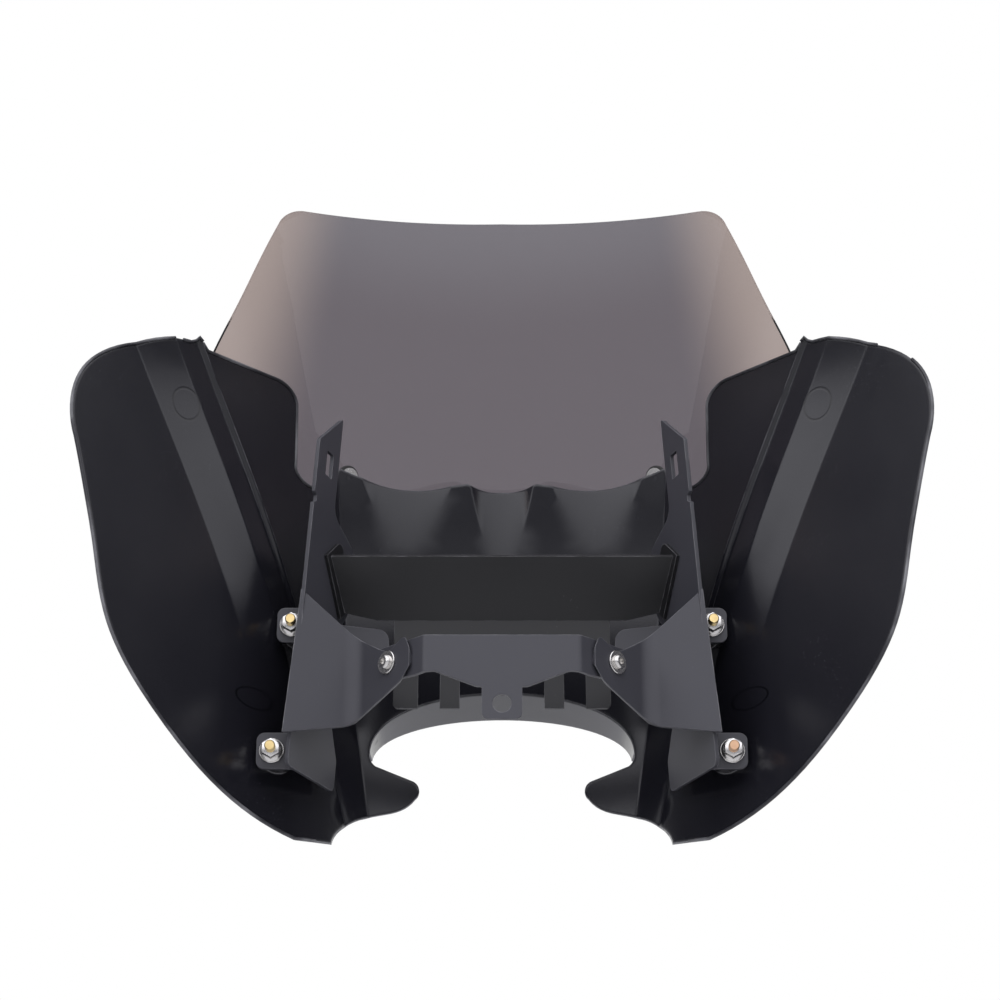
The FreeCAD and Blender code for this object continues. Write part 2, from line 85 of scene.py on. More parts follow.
def new_group(name, inputs, outputs):
    """Empty shader node group with float inputs and outputs, and its two end nodes."""
    group = bpy.data.node_groups.new(name, "ShaderNodeTree")
    for title, value in inputs.items():
        socket = group.interface.new_socket(title, in_out="INPUT", socket_type="NodeSocketFloat")
        socket.default_value = value
    for title in outputs:
        group.interface.new_socket(title, in_out="OUTPUT", socket_type="NodeSocketFloat")
    return group, group.nodes.new("NodeGroupInput"), group.nodes.new("NodeGroupOutput")


def use_group(nodes, group, values):
    node = nodes.new("ShaderNodeGroup")
    node.node_tree = group
    for title, value in values.items():
        node.inputs[title].default_value = value
    return node


def math_node(nodes, links, operation, first, second):
    node = nodes.new("ShaderNodeMath")
    node.operation = operation
    for socket, value in zip(node.inputs, (first, second)):
        if isinstance(value, (int, float)):
            socket.default_value = value
        else:
            links.new(value, socket)
    return node.outputs[0]


def ramp(nodes, links, value, low, high):
    """Value brought from the range low..high to 0..1, with soft ends."""
    node = nodes.new("ShaderNodeMapRange")
    node.interpolation_type = "SMOOTHSTEP"
    links.new(value, node.inputs["Value"])
    node.inputs["From Min"].default_value = low
    node.inputs["From Max"].default_value = high
    return node.outputs["Result"]


def mix_colour(nodes, links, share, first, second):
    node = nodes.new("ShaderNodeMix")
    node.data_type = "RGBA"
    links.new(share, node.inputs["Factor"])
    for socket, value in ((node.inputs["A"], first), (node.inputs["B"], second)):
        if isinstance(value, tuple):
            socket.default_value = (*value, 1)
        else:
            links.new(value, socket)
    return node.outputs["Result"]


def object_point(nodes):
    return nodes.new("ShaderNodeTexCoord").outputs["Object"]


# Paler edges, partly wear and partly painted highlight: the mask is the difference between the true normal
# and one rounded over a small radius.
edge_wear_and_highlight, edge_mask_in, edge_mask_out = new_group("edge_wear_and_highlight", {"Radius": 0.001, "Break-up": 160.0}, ["Mask"])
rounded = edge_wear_and_highlight.nodes.new("ShaderNodeBevel")
rounded.samples = 6
edge_wear_and_highlight.links.new(edge_mask_in.outputs["Radius"], rounded.inputs["Radius"])
plain = edge_wear_and_highlight.nodes.new("ShaderNodeNewGeometry")
facing = edge_wear_and_highlight.nodes.new("ShaderNodeVectorMath")
facing.operation = "DOT_PRODUCT"
edge_wear_and_highlight.links.new(rounded.outputs["Normal"], facing.inputs[0])
edge_wear_and_highlight.links.new(plain.outputs["Normal"], facing.inputs[1])
turned = ramp(edge_wear_and_highlight.nodes, edge_wear_and_highlight.links, facing.outputs["Value"], low=0.99, high=0.80)
patches = edge_wear_and_highlight.nodes.new("ShaderNodeTexNoise")
edge_wear_and_highlight.links.new(object_point(edge_wear_and_highlight.nodes), patches.inputs["Vector"])
edge_wear_and_highlight.links.new(edge_mask_in.outputs["Break-up"], patches.inputs["Scale"])
broken = ramp(edge_wear_and_highlight.nodes, edge_wear_and_highlight.links, patches.outputs["Fac"], low=0.25, high=0.70)
worn_and_highlit = math_node(edge_wear_and_highlight.nodes, edge_wear_and_highlight.links, "MULTIPLY", turned, broken)
edge_wear_and_highlight.links.new(worn_and_highlit, edge_mask_out.inputs["Mask"])

# Dust: sparse small specks, in clusters.
dust_specks, dust_in, dust_out = new_group("dust_specks", {"Scale": 260.0, "Amount": 0.12}, ["Mask"])
cells = dust_specks.nodes.new("ShaderNodeTexVoronoi")
dust_specks.links.new(object_point(dust_specks.nodes), cells.inputs["Vector"])
dust_specks.links.new(dust_in.outputs["Scale"], cells.inputs["Scale"])
near = math_node(dust_specks.nodes, dust_specks.links, "LESS_THAN", cells.outputs["Distance"],
                 dust_in.outputs["Amount"])
clusters = dust_specks.nodes.new("ShaderNodeTexNoise")
dust_specks.links.new(object_point(dust_specks.nodes), clusters.inputs["Vector"])
clusters.inputs["Scale"].default_value = 14
settled = ramp(dust_specks.nodes, dust_specks.links, clusters.outputs["Fac"], low=0.55, high=0.72)
dusty = math_node(dust_specks.nodes, dust_specks.links, "MULTIPLY", near, settled)
dust_specks.links.new(dusty, dust_out.inputs["Mask"])


def mould_mark(nodes, links, across, height, half_width, half_height, line):
    """Thin oval line on both wings, left by a pin of the mould."""
    point = nodes.new("ShaderNodeSeparateXYZ")
    links.new(object_point(nodes), point.inputs["Vector"])
    sideways = math_node(nodes, links, "ABSOLUTE", point.outputs["X"], 0)
    place = nodes.new("ShaderNodeCombineXYZ")
    from_middle = math_node(nodes, links, "SUBTRACT", sideways, across)
    above_middle = math_node(nodes, links, "SUBTRACT", point.outputs["Z"], height)
    links.new(math_node(nodes, links, "DIVIDE", from_middle, half_width), place.inputs["X"])
    links.new(math_node(nodes, links, "DIVIDE", above_middle, half_height), place.inputs["Y"])
    distance = nodes.new("ShaderNodeVectorMath")
    distance.operation = "LENGTH"
    links.new(place.outputs["Vector"], distance.inputs[0])
    off_line = math_node(nodes, links, "SUBTRACT", distance.outputs["Value"], 1)
    return ramp(nodes, links, math_node(nodes, links, "ABSOLUTE", off_line, 0), line, 0.3 * line)


def black_plastic(name, smoothest, dullest, mark_depth):
    """Black moulding with a fine grain, edges painted paler as rubbing and as highlight, dust, and mould
    marks where it has them.
    """
    material, nodes, links, shader = new_material(name)
    black = (0.006, 0.006, 0.009)
    faded = (0.010, 0.010, 0.013)
    pressed_black = (0.002, 0.002, 0.003)
    # Pale edge colour: partly rubbing and partly painted highlight on the edges.
    rubbed_and_highlit = (0.11, 0.11, 0.12)
    dust = (0.20, 0.20, 0.22)
    dust_strength = 0.4
    edge_dullness = 0.2
    wave_height = 3.0
    mark_sink = 4.0
    upper_pin = {
        "across": 243 * millimetre,
        "height": 237 * millimetre,
        "half_width": 9.5 * millimetre,
        "half_height": 12.5 * millimetre,
        "line": 0.10,
    }
    lower_pin = {
        "across": 188 * millimetre,
        "height": 19 * millimetre,
        "half_width": 12 * millimetre,
        "half_height": 8 * millimetre,
        "line": 0.08,
    }
    edge_light_mark = use_group(nodes, edge_wear_and_highlight, {"Radius": 1.6 * millimetre, "Break-up": 60})
    specks = use_group(nodes, dust_specks, {"Scale": 320, "Amount": 0.10})
    cloud = nodes.new("ShaderNodeTexNoise")
    links.new(object_point(nodes), cloud.inputs["Vector"])
    cloud.inputs["Scale"].default_value = 9
    cloud.inputs["Detail"].default_value = 5
    tone = mix_colour(nodes, links, cloud.outputs["Fac"], black, faded)
    dust_share = math_node(nodes, links, "MULTIPLY", specks.outputs["Mask"], dust_strength)
    speckled = mix_colour(nodes, links, dust_share, tone, dust)
    upper_mark = mould_mark(nodes, links, **upper_pin)
    lower_mark = mould_mark(nodes, links, **lower_pin)
    pins = math_node(nodes, links, "MAXIMUM", upper_mark, lower_mark)
    pressed = math_node(nodes, links, "MULTIPLY", pins, mark_depth)
    marked = mix_colour(nodes, links, pressed, speckled, pressed_black)
    links.new(mix_colour(nodes, links, edge_light_mark.outputs["Mask"], marked, rubbed_and_highlit), shader.inputs["Base Color"])
    gloss = nodes.new("ShaderNodeMapRange")
    links.new(cloud.outputs["Fac"], gloss.inputs["Value"])
    gloss.inputs["To Min"].default_value = smoothest
    gloss.inputs["To Max"].default_value = dullest
    dulled = math_node(nodes, links, "MULTIPLY", edge_light_mark.outputs["Mask"], edge_dullness)
    links.new(math_node(nodes, links, "ADD", gloss.outputs["Result"], dulled), shader.inputs["Roughness"])
    grain = nodes.new("ShaderNodeTexNoise")
    links.new(object_point(nodes), grain.inputs["Vector"])
    grain.inputs["Scale"].default_value = 900
    waves = nodes.new("ShaderNodeTexNoise")
    links.new(object_point(nodes), waves.inputs["Vector"])
    waves.inputs["Scale"].default_value = 24
    relief = nodes.new("ShaderNodeBump")
    relief.inputs["Strength"].default_value = 0.10
    relief.inputs["Distance"].default_value = 0.3 * millimetre
    swell = math_node(nodes, links, "MULTIPLY", waves.outputs["Fac"], wave_height)
    surface = math_node(nodes, links, "ADD", grain.outputs["Fac"], swell)
    sunk = math_node(nodes, links, "MULTIPLY", pressed, mark_sink)
    links.new(math_node(nodes, links, "SUBTRACT", surface, sunk), relief.inputs["Height"])
    soft = nodes.new("ShaderNodeBevel")
    soft.samples = 8
    soft.inputs["Radius"].default_value = 3.0 * millimetre
    links.new(soft.outputs["Normal"], relief.inputs["Normal"])
    links.new(relief.outputs["Normal"], shader.inputs["Normal"])
    return material


def highlit_trim():
    """Trimmed edge of the moulding, dull, and pale as painted highlight along the rim."""
    material, nodes, links, shader = new_material("trimmed_edge")
    dark = (0.05, 0.05, 0.055)
    # The pale tone is painted highlight along the rim.
    pale = (0.20, 0.20, 0.21)
    tooth = nodes.new("ShaderNodeTexNoise")
    links.new(object_point(nodes), tooth.inputs["Vector"])
    tooth.inputs["Scale"].default_value = 180
    links.new(mix_colour(nodes, links, tooth.outputs["Fac"], dark, pale), shader.inputs["Base Color"])
    shader.inputs["Roughness"].default_value = 0.55
    return material


shell = smooth_copy("fairing_shell", "black_shell", sharp_degrees=24)
inner_side, trim, outer_side = range(3)
shell.data.materials.append(black_plastic("black_inside", smoothest=0.17, dullest=0.27, mark_depth=0.95))
shell.data.materials.append(highlit_trim())
shell.data.materials.append(black_plastic("black_outside", smoothest=0.10, dullest=0.16, mark_depth=0.0))
fold_turn = math.radians(4)
fold_run = 2 * millimetre
wing_start = 120 * millimetre
wing_front = 130 * millimetre
wing_inside = 150 * millimetre
boss_radius = 13 * millimetre
edge_on = 0.015
level_lean = 0.3
forward_lean = 0.1
backward_lean = -0.2
bosses = []
for side in ("left", "right"):
    for level in ("lower", "upper"):
        low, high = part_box(f"{side}_{level}_foot_stud")
        bosses.append((Vector(low) + Vector(high)) / 2)
moulding = bmesh.new()
moulding.from_mesh(shell.data)
for edge in moulding.edges:
    run = edge.verts[1].co - edge.verts[0].co
    middle = (edge.verts[0].co + edge.verts[1].co) / 2
    on_wing = abs(middle.x) > wing_start and middle.y < wing_front
    upright = run.length > fold_run and abs(run.z) > 0.5 * run.length
    if on_wing and upright and len(edge.link_faces) == 2 and edge.calc_face_angle() > fold_turn:
        edge.smooth = False
for face in moulding.faces:
    middle = face.calc_center_median()
    on_boss = any((middle - boss).xz.length < boss_radius for boss in bosses)
    outer = abs(middle.x) > wing_inside or abs(face.normal.z) > level_lean
    if abs(face.normal.y) < edge_on and outer and not on_boss:
        face.material_index = trim
    elif face.normal.y > forward_lean:
        face.material_index = outer_side
rim_edges = []
for edge in moulding.edges:
    sides = {face.material_index: face for face in edge.link_faces}
    if set(sides) != {inner_side, trim}:
        continue
    if sides[inner_side].normal.y < backward_lean and abs(edge.verts[0].co.x) > wing_inside:
        rim_edges.append(tuple(vertex.co.to_tuple(6) for vertex in edge.verts))
moulding.to_mesh(shell.data)
moulding.free()


# Wing rims: the trimmed edge of each wing is left with a small rolled burr on the inside.
# It is the same plastic as the shell, pale in patches partly from rubbing and partly as painted highlight,
# and catches the light all round.

def chains(edges):
    """Edges joined end to end into runs of points."""
    joined_to = {}
    for start, end in edges:
        joined_to.setdefault(start, []).append(end)
        joined_to.setdefault(end, []).append(start)
    runs = []
    while joined_to:
        ends = [point for point, others in joined_to.items() if len(others) == 1]
        point = min(ends) if ends else min(joined_to)
        run = [point]
        while joined_to.get(point):
            following = joined_to[point].pop()
            joined_to[following].remove(point)
            if not joined_to[point]:
                del joined_to[point]
            point = following
            run.append(point)
        joined_to.pop(point, None)
        runs.append(run)
    return runs


def rim_rub_and_highlight():
    material, nodes, links, shader = new_material("rim_rub_and_highlight")
    dark = (0.022, 0.022, 0.026)
    # Pale patches on the rim: partly rubbing and partly painted highlight.
    pale = (0.17, 0.17, 0.18)
    patches = nodes.new("ShaderNodeTexNoise")
    links.new(object_point(nodes), patches.inputs["Vector"])
    patches.inputs["Scale"].default_value = 22
    patches.inputs["Detail"].default_value = 6
    rubbed_and_highlit = ramp(nodes, links, patches.outputs["Fac"], low=0.42, high=0.72)
    links.new(mix_colour(nodes, links, rubbed_and_highlit, dark, pale), shader.inputs["Base Color"])
    shader.inputs["Roughness"].default_value = 0.34
    return material


rim_radius = 1.3 * millimetre
path = bpy.data.curves.new("rim_path", "CURVE")
path.dimensions = "3D"
path.bevel_depth = rim_radius
path.bevel_resolution = 3
path.use_fill_caps = True
for run in chains(sorted(rim_edges)):
    spline = path.splines.new("POLY")
    spline.points.add(len(run) - 1)
    for point, place in zip(spline.points, run):
        point.co = (*place, 1)
sweep = bpy.data.objects.new("rim_sweep", path)
bpy.context.scene.collection.objects.link(sweep)
depsgraph = bpy.context.evaluated_depsgraph_get()
rim_mesh = bpy.data.meshes.new_from_object(sweep.evaluated_get(depsgraph))
bpy.data.objects.remove(sweep)
bpy.data.curves.remove(path)
rim_shape = bmesh.new()
rim_shape.from_mesh(rim_mesh)
bmesh.ops.remove_doubles(rim_shape, verts=rim_shape.verts, dist=join_distance)
bmesh.ops.recalc_face_normals(rim_shape, faces=rim_shape.faces)
for face in rim_shape.faces:
    face.smooth = True
rim_shape.to_mesh(rim_mesh)
rim_shape.free()
rim_mesh.materials.clear()
rim_mesh.materials.append(rim_rub_and_highlight())
rims = bpy.data.objects.new("wing_rims", rim_mesh)
bpy.context.scene.collection.objects.link(rims)
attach(rims, "root")


# Windshield: a sheet of smoked plastic, bent warm to a cone and screwed to the shell's front panel.
# The smoke is densest in the middle, a little paler at the top, and paler and browner at the sides.

def smoked_plastic():
    material, nodes, links, shader = new_material("smoked_sheet")
    middle = (0.140, 0.124, 0.140)
    side = (0.38, 0.315, 0.295)
    top = (0.185, 0.175, 0.195)
    base_level = 250 * millimetre
    base_half = 245 * millimetre
    narrowing = 0.30
    top_start = 360 * millimetre
    top_end = 460 * millimetre
    point = nodes.new("ShaderNodeSeparateXYZ")
    links.new(object_point(nodes), point.inputs["Vector"])
    across = math_node(nodes, links, "ABSOLUTE", point.outputs["X"], 0)
    above_base = math_node(nodes, links, "SUBTRACT", point.outputs["Z"], base_level)
    drawn_in = math_node(nodes, links, "MULTIPLY", above_base, narrowing)
    half_width = math_node(nodes, links, "SUBTRACT", base_half, drawn_in)
    share = math_node(nodes, links, "DIVIDE", across, half_width)
    sideways = ramp(nodes, links, share, low=0.66, high=1.0)
    upward = ramp(nodes, links, point.outputs["Z"], low=top_start, high=top_end)
    topped = mix_colour(nodes, links, upward, middle, top)
    links.new(mix_colour(nodes, links, sideways, topped, side), shader.inputs["Base Color"])
    shader.inputs["Transmission Weight"].default_value = 1.0
    shader.inputs["IOR"].default_value = 1.08
    shader.inputs["Roughness"].default_value = 0.03
    shader.inputs["Coat Weight"].default_value = 0.6
    shader.inputs["Coat Roughness"].default_value = 0.03
    return material


screen = smooth_copy("windshield", "smoked_windshield", sharp_degrees=40)
screen.data.materials.append(smoked_plastic())


# Brackets: cut and folded from 3 mm steel sheet, drilled, then painted satin black; the cross bracket's
# far darker copy of the paint is painted shade. The cut edges, which catch the light, are painted paler,
# partly as thin paint and partly as painted highlight, and a few specks sit in it.

def satin_paint(name, paint, pale):
    """Thin satin paint that lies between two tones, with edges painted paler as thin paint and as highlight,
    and specks.
    """
    material, nodes, links, shader = new_material(name)
    # Pale edge colour: partly thin paint and partly painted highlight on the cut edges.
    thin_paint_and_highlight = (0.20, 0.20, 0.21)
    dust = (0.26, 0.26, 0.27)
    dust_strength = 0.3
    edge_light_mark = use_group(nodes, edge_wear_and_highlight, {"Radius": 0.9 * millimetre, "Break-up": 90})
    specks = use_group(nodes, dust_specks, {"Scale": 210, "Amount": 0.07})
    cloud = nodes.new("ShaderNodeTexNoise")
    links.new(object_point(nodes), cloud.inputs["Vector"])
    cloud.inputs["Scale"].default_value = 18
    tone = mix_colour(nodes, links, cloud.outputs["Fac"], paint, pale)
    dust_share = math_node(nodes, links, "MULTIPLY", specks.outputs["Mask"], dust_strength)
    speckled = mix_colour(nodes, links, dust_share, tone, dust)
    links.new(mix_colour(nodes, links, edge_light_mark.outputs["Mask"], speckled, thin_paint_and_highlight), shader.inputs["Base Color"])
    gloss = nodes.new("ShaderNodeMapRange")
    links.new(cloud.outputs["Fac"], gloss.inputs["Value"])
    gloss.inputs["To Min"].default_value = 0.42
    gloss.inputs["To Max"].default_value = 0.52
    links.new(gloss.outputs["Result"], shader.inputs["Roughness"])
    peel = nodes.new("ShaderNodeTexNoise")
    links.new(object_point(nodes), peel.inputs["Vector"])
    peel.inputs["Scale"].default_value = 700
    relief = nodes.new("ShaderNodeBump")
    relief.inputs["Strength"].default_value = 0.10
    relief.inputs["Distance"].default_value = 0.2 * millimetre
    links.new(peel.outputs["Fac"], relief.inputs["Height"])
    soft = nodes.new("ShaderNodeBevel")
    soft.samples = 6
    soft.inputs["Radius"].default_value = 0.9 * millimetre
    links.new(soft.outputs["Normal"], relief.inputs["Normal"])
    links.new(relief.outputs["Normal"], shader.inputs["Normal"])
    return material


grey_black = satin_paint("grey_black_paint", paint=(0.031, 0.031, 0.038), pale=(0.040, 0.040, 0.048))
# Far darker copy of the same paint for the cross bracket: painted shade on its downturned apron.
shade_darkened_black = satin_paint("shade_darkened_black_paint", paint=(0.005, 0.005, 0.006), pale=(0.009, 0.009, 0.010))
bracket_paints = {
    "left_side_bracket": grey_black,
    "right_side_bracket": grey_black,
    "cross_bracket": shade_darkened_black,
    "centre_strap": grey_black,
}
for node, paint in bracket_paints.items():
    bracket = smooth_copy(node, node + "_painted", sharp_degrees=24)
    bracket.data.materials.append(paint)


# Foot fasteners: threaded studs of yellow zinc, one of them gone coppery, each with a bright washer
# and a flange nut. The nut draws the bracket's foot onto the moulded boss, and the stud's tip
# stands out past it.

def plated_steel(name, colour, tarnish, roughness):
    material, nodes, links, shader = new_material(name)
    tarnish_dullness = 0.10
    bright_polish = 0.06
    cloud = nodes.new("ShaderNodeTexNoise")
    links.new(object_point(nodes), cloud.inputs["Vector"])
    cloud.inputs["Scale"].default_value = 220
    cloud.inputs["Detail"].default_value = 3
    links.new(mix_colour(nodes, links, cloud.outputs["Fac"], tarnish, colour), shader.inputs["Base Color"])
    shader.inputs["Metallic"].default_value = 1.0
    gloss = nodes.new("ShaderNodeMapRange")
    links.new(cloud.outputs["Fac"], gloss.inputs["Value"])
    gloss.inputs["To Min"].default_value = roughness + tarnish_dullness
    gloss.inputs["To Max"].default_value = roughness - bright_polish
    links.new(gloss.outputs["Result"], shader.inputs["Roughness"])
    return material


def middle_of(node):
    points = [vertex.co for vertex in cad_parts[node].data.vertices]
    return sum(points, Vector()) / len(points)


def axis_of(start, end):
    return (middle_of(end) - middle_of(start)).normalized()


def reach_of(node, axis):
    """Lowest and highest distance of a node along an axis through the origin."""
    heights = [vertex.co.dot(axis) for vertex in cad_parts[node].data.vertices]
    return min(heights), max(heights)


def seat_on(node, axis):
    """Point on the node's own centre line at its low end along the axis."""
    middle = middle_of(node)
    return middle + axis * (reach_of(node, axis)[0] - middle.dot(axis))


def stand_piece(solid, name, node, axis, material):
    """A shape made upright at the origin becomes a piece on the node's place and replaces the node."""
    seat = seat_on(node, axis)
    turn = Vector((0, 0, 1)).rotation_difference(axis).to_matrix().to_4x4()
    sharp = math.radians(35)
    bmesh.ops.recalc_face_normals(solid, faces=solid.faces)
    bmesh.ops.transform(solid, matrix=Matrix.Translation(seat) @ turn, verts=solid.verts)
    for face in solid.faces:
        face.smooth = True
    for edge in solid.edges:
        edge.smooth = len(edge.link_faces) == 2 and edge.calc_face_angle() < sharp
    mesh = bpy.data.meshes.new(name)
    solid.to_mesh(mesh)
    solid.free()
    mesh.materials.append(material)
    piece = bpy.data.objects.new(name, mesh)
    bpy.context.scene.collection.objects.link(piece)
    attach(piece, "root")
    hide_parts(node)


def turned_shape(profile, segments):
    """Solid of revolution about Z from (radius, height) points that start and end on the axis."""
    solid = bmesh.new()
    points = [solid.verts.new((radius, 0, height)) for radius, height in profile]
    edges = [solid.edges.new(pair) for pair in zip(points[:-1], points[1:])]
    bmesh.ops.spin(solid, geom=points + edges, cent=(0, 0, 0), axis=(0, 0, 1), angle=math.tau, steps=segments,
                   use_merge=True)
    bmesh.ops.remove_doubles(solid, verts=solid.verts, dist=join_distance)
    return solid


def threaded_rod(radius, length, pitch):
    """Rod with rings of thread and a chamfered tip."""
    depth = 0.55 * pitch
    plain_tip = 2.2 * pitch
    profile = [(0, 0), (radius, 0)]
    height = 0.0
    while height < length - plain_tip:
        profile.append((radius, height + 0.15 * pitch))
        profile.append((radius - depth, height + 0.5 * pitch))
        profile.append((radius, height + 0.85 * pitch))
        height += pitch
    profile += [(radius, length - depth), (radius - depth, length), (0, length)]
    return turned_shape(profile, segments=32)


def hex_body(across_flats, height, chamfer):
    """Hexagon with its corners turned off at the top."""
    corner = across_flats / math.sqrt(3)
    near_top = 0.9 * height
    solid = bmesh.new()
    bmesh.ops.create_cone(solid, cap_ends=True, segments=6, radius1=corner, radius2=corner, depth=height,
                          matrix=Matrix.Translation((0, 0, height / 2)))
    rim = [edge for edge in solid.edges if all(vertex.co.z > near_top for vertex in edge.verts)]
    bmesh.ops.bevel(solid, geom=rim, offset=chamfer, offset_type="OFFSET", segments=2, profile=0.5,
                    affect="EDGES", material=-1)
    return solid


def joined(*solids):
    whole = bmesh.new()
    for solid in solids:
        part = bpy.data.meshes.new("part")
        solid.to_mesh(part)
        solid.free()
        whole.from_mesh(part)
        bpy.data.meshes.remove(part)
    return whole


def flange_nut(across_flats, flange, height):
    """Hexagon on a round skirt."""
    skirt_edge = 0.12 * height
    skirt_top = 0.30 * height
    skirt_crown = 0.34 * height
    throat = 0.53 * across_flats
    profile = [(0, 0), (flange, 0), (flange, skirt_edge), (throat, skirt_top), (0, skirt_crown)]
    skirt = turned_shape(profile, segments=48)
    body = hex_body(across_flats, height, chamfer=0.09 * height)
    return joined(skirt, body)


def flat_washer(inner, outer, thickness):
    """Flat ring with its outer corners rounded off."""
    round_off = 0.25 * thickness
    ring = bmesh.new()
    profile = [(inner, 0), (outer - round_off, 0), (outer, round_off), (outer, thickness - round_off),
               (outer - round_off, thickness), (inner, thickness)]
    points = [ring.verts.new((radius, 0, height)) for radius, height in profile]
    edges = [ring.edges.new(pair) for pair in zip(points, points[1:] + points[:1])]
    bmesh.ops.spin(ring, geom=points + edges, cent=(0, 0, 0), axis=(0, 0, 1), angle=math.tau, steps=48,
                   use_merge=True)
    bmesh.ops.remove_doubles(ring, verts=ring.verts, dist=join_distance)
    return ring


def span(node, axis):
    low, high = reach_of(node, axis)
    return high - low


def radius_across(node, axis):
    """Largest distance of a node from its own centre line."""
    middle = middle_of(node)
    offsets = []
    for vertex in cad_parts[node].data.vertices:
        arm = vertex.co - middle
        offsets.append((arm - axis * arm.dot(axis)).length)
    return max(offsets)


bright_zinc = plated_steel("bright_zinc", (0.80, 0.79, 0.77), tarnish=(0.60, 0.58, 0.55), roughness=0.24)
yellow_zinc = plated_steel("yellow_zinc", (0.78, 0.62, 0.30), tarnish=(0.60, 0.44, 0.20), roughness=0.28)
copper_zinc = plated_steel("copper_zinc", (0.70, 0.46, 0.30), tarnish=(0.50, 0.30, 0.18), roughness=0.30)
rearward = Vector((0, -1, 0))
stud_pitch = 1.25 * millimetre
foot_nut_flats = 13 * millimetre
washer_play = 1.08
for side in ("left", "right"):
    for level in ("lower", "upper"):
        foot = f"{side}_{level}_foot"
        stud_radius = radius_across(foot + "_stud", rearward)
        rod = threaded_rod(stud_radius, span(foot + "_stud", rearward), stud_pitch)
        finish = copper_zinc if foot == "right_lower_foot" else yellow_zinc
        stand_piece(rod, foot + "_threaded_stud", foot + "_stud", rearward, finish)
        washer = flat_washer(washer_play * stud_radius, radius_across(foot + "_washer", rearward),
                             span(foot + "_washer", rearward))
        stand_piece(washer, foot + "_plain_washer", foot + "_washer", rearward, bright_zinc)
        nut = flange_nut(foot_nut_flats, radius_across(foot + "_nut", rearward),
                         span(foot + "_nut", rearward))
        stand_piece(nut, foot + "_flange_nut", foot + "_nut", rearward, bright_zinc)


# Bracket bolts: hexagon bolts hold the cross bracket between the side brackets, and socket
# button heads hold the strap to the folded gussets. All are bright zinc, and each has a washer
# and a plain nut.

def hex_bolt(radius, length, across_flats, head):
    """Hexagon head above a threaded shank that ends inside it."""
    pitch = 1.0 * millimetre
    inside_head = 0.5 * head
    shank = threaded_rod(radius, length + inside_head, pitch)
    top = hex_body(across_flats, head, chamfer=0.12 * head)
    bmesh.ops.translate(top, verts=top.verts, vec=(0, 0, length))
    return joined(shank, top)


def button_bolt(radius, length, head_radius, head, socket):
    """Domed head with a round socket, above a threaded shank that ends inside it."""
    pitch = 0.9 * millimetre
    inside_head = 0.3 * head
    brim = 0.18 * head
    lip = 0.62 * head_radius
    socket_floor = length + 0.45 * head
    shank = threaded_rod(radius, length + inside_head, pitch)
    dome = [(0, length), (head_radius, length), (head_radius, length + brim)]
    for step in range(1, 7):
        angle = math.radians(15 * step)
        reach = lip + (head_radius - lip) * math.cos(angle)
        dome.append((reach, length + brim + (head - brim) * math.sin(angle)))
    dome += [(0.56 * socket, length + head), (0.5 * socket, socket_floor), (0, socket_floor)]
    return joined(shank, turned_shape(dome, segments=48))


shank_radius = 3 * millimetre
bolt_flats = 10 * millimetre
nut_chamfer = 0.5 * millimetre
strap_socket = 4 * millimetre
bolt_washer_bore = 1.1 * shank_radius
for side in ("left", "right"):
    for place in ("cross", "strap"):
        bolt, ring, nut = (f"{side}_{place}_{piece}" for piece in ("bolt", "washer", "nut"))
        outward = axis_of(nut, ring)
        low, high = reach_of(bolt, outward)
        seat = reach_of(ring, outward)[1]
        if place == "cross":
            shape = hex_bolt(shank_radius, seat - low, bolt_flats, high - seat)
        else:
            head_radius = radius_across(bolt, outward)
            shape = button_bolt(shank_radius, seat - low, head_radius, high - seat, strap_socket)
        stand_piece(shape, bolt + "_threaded", bolt, outward, bright_zinc)
        washer = flat_washer(bolt_washer_bore, radius_across(ring, outward), span(ring, outward))
        stand_piece(washer, ring + "_plain", ring, outward, bright_zinc)
        hexagon = hex_body(bolt_flats, span(nut, outward), nut_chamfer)
        stand_piece(hexagon, nut + "_hex", nut, -outward, bright_zinc)


# Windshield screws: each clamps the sheet through a rubber washer to a flanged metal insert
# in the corner of the front panel, so that bright metal and rubber show over the panel's edge.

def black_rubber():
    material, nodes, links, shader = new_material("black_rubber")
    black = (0.012, 0.012, 0.012)
    bloom = (0.03, 0.03, 0.03)
    cloud = nodes.new("ShaderNodeTexNoise")
    links.new(object_point(nodes), cloud.inputs["Vector"])
    cloud.inputs["Scale"].default_value = 260
    links.new(mix_colour(nodes, links, cloud.outputs["Fac"], black, bloom), shader.inputs["Base Color"])
    shader.inputs["Roughness"].default_value = 0.7
    return material


rubber = black_rubber()
soft_ring_bore = 3 * millimetre
for side in ("left", "right"):
    screw, ring, insert = (f"{side}_screen_{piece}" for piece in ("screw", "rubber_washer", "insert"))
    outward = axis_of(insert, ring)
    soft_ring = flat_washer(soft_ring_bore, radius_across(ring, outward), span(ring, outward))
    stand_piece(soft_ring, ring + "_soft", ring, outward, rubber)
    for node in (insert, screw):
        plated = smooth_copy(node, node + "_plated", sharp_degrees=30)
        plated.data.materials.append(bright_zinc)


# Stage: a pale floor well below the part, a white backdrop and two soft lamps.
# Wide soft boxes stand above and behind the camera, and the sides are dark, so that the folds
# of the black plastic show.

floor_level = -1.4
floor_size = 120
floor_grey = (0.72, 0.72, 0.72, 1)
floor_mesh = bpy.data.meshes.new("floor")
floor_shape = bmesh.new()
bmesh.ops.create_grid(floor_shape, x_segments=1, y_segments=1, size=floor_size / 2,
                      matrix=Matrix.Translation((0, 0, floor_level)))
floor_shape.to_mesh(floor_mesh)
floor_shape.free()
floor = bpy.data.objects.new("floor", floor_mesh)
bpy.context.scene.collection.objects.link(floor)
floor_material, _, _, floor_shader = new_material("pale_floor")
floor_shader.inputs["Base Color"].default_value = floor_grey
floor_shader.inputs["Roughness"].default_value = 0.8
floor_mesh.materials.append(floor_material)

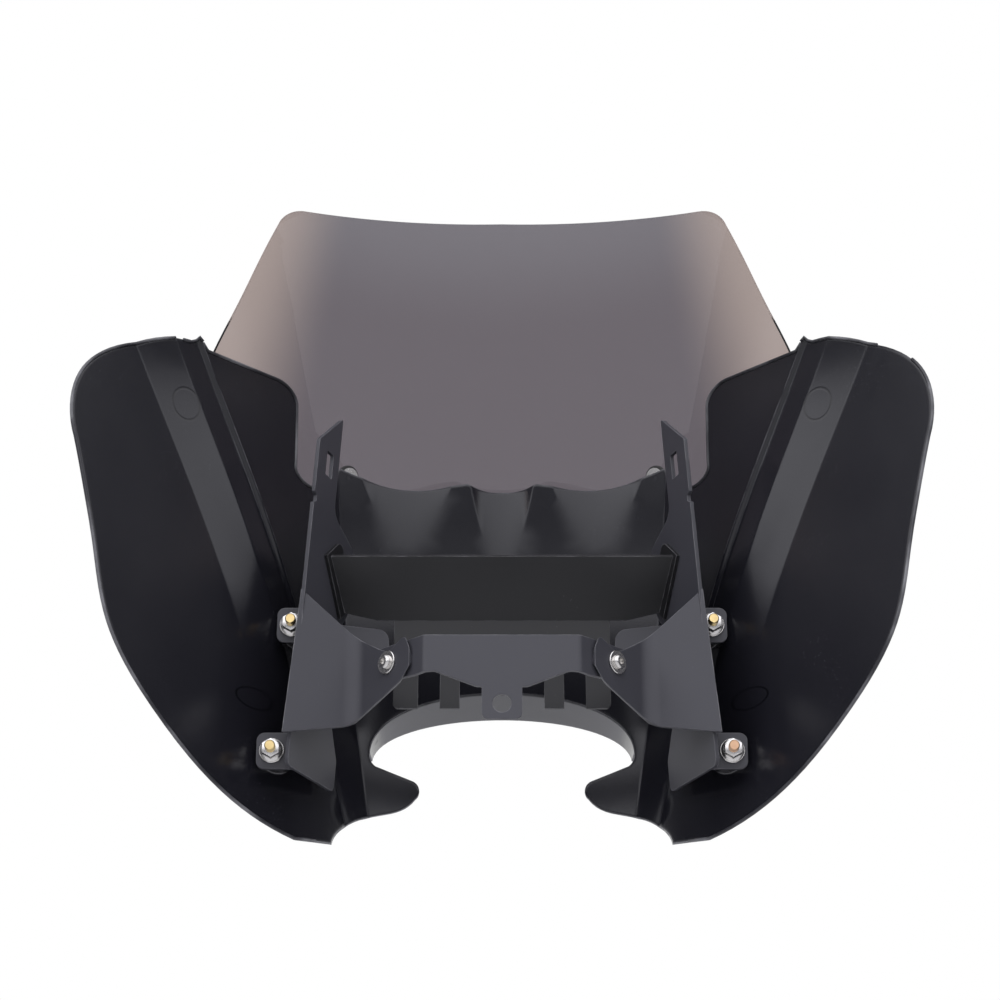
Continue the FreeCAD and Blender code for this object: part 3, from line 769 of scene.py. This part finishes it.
right_box = (1.60, 1.60, 1.70)
left_box = (2.00, 2.00, 2.12)
dark_side = (0.06, 0.06, 0.07)
far_wall = (0.55, 0.55, 0.58)
white_wall = (1, 1, 1)
world = bpy.data.worlds.new("studio")
bpy.context.scene.world = world
world.use_nodes = True
sky = world.node_tree.nodes
sky_links = world.node_tree.links
backdrop = sky["Background"]
direction = sky.new("ShaderNodeSeparateXYZ")
sky_links.new(sky.new("ShaderNodeTexCoord").outputs["Generated"], direction.inputs["Vector"])
behind = ramp(sky, sky_links, direction.outputs["Y"], low=0.06, high=-0.20)
above = ramp(sky, sky_links, direction.outputs["Z"], low=0.06, high=0.34)
ahead = ramp(sky, sky_links, direction.outputs["Y"], low=0.16, high=0.30)
beyond = ramp(sky, sky_links, direction.outputs["Y"], low=0.50, high=0.85)
towards_left = ramp(sky, sky_links, direction.outputs["X"], low=0.8, high=-0.8)
soft_boxes = mix_colour(sky, sky_links, towards_left, right_box, left_box)
lit = math_node(sky, sky_links, "MULTIPLY", behind, above)
unlit = mix_colour(sky, sky_links, ahead, dark_side, far_wall)
room = mix_colour(sky, sky_links, lit, unlit, soft_boxes)
ray = sky.new("ShaderNodeLightPath")
mirrored = math_node(sky, sky_links, "MULTIPLY", ray.outputs["Is Glossy Ray"], beyond)
seen = math_node(sky, sky_links, "MAXIMUM", ray.outputs["Is Camera Ray"], ray.outputs["Is Transmission Ray"])
white = math_node(sky, sky_links, "MAXIMUM", seen, mirrored)
sky_links.new(mix_colour(sky, sky_links, white, room, white_wall), backdrop.inputs["Color"])


def soft_lamp(name, place, target, size, power):
    """Wide area lamp that lights the part but isn't mirrored in it."""
    lamp = bpy.data.lights.new(name, "AREA")
    lamp.shape = "RECTANGLE"
    lamp.size, lamp.size_y = size
    lamp.energy = power
    lamp.spread = math.radians(80)
    holder = bpy.data.objects.new(name, lamp)
    holder.location = place
    holder.rotation_euler = (Vector(target) - Vector(place)).to_track_quat("-Z", "Y").to_euler()
    holder.visible_glossy = False
    bpy.context.scene.collection.objects.link(holder)


lamp_target = (0, 0, 0.1)
soft_lamp("key_lamp", place=(0.3, -1.7, 1.9), target=lamp_target, size=(1.4, 1.0), power=5)
soft_lamp("side_lamp", place=(-1.6, -0.9, 1.3), target=lamp_target, size=(1.0, 1.0), power=2)


# Camera: below and behind the part, looking up and forward into its inner side.
# Its long lens keeps the wings and the brackets in nearly the same proportion.

camera_place = (0, -1.6321, -0.4984)
upward_tilt = 22
camera_data = bpy.data.cameras.new("camera")
camera_data.sensor_width = 36
camera_data.lens = 83.2
camera_data.shift_x = -0.002
camera = bpy.data.objects.new("camera", camera_data)
camera.location = camera_place
camera.rotation_euler = (math.radians(90 + upward_tilt), 0, 0)
bpy.context.scene.collection.objects.link(camera)
bpy.context.scene.camera = camera
bpy.context.scene.view_settings.view_transform = "Standard"
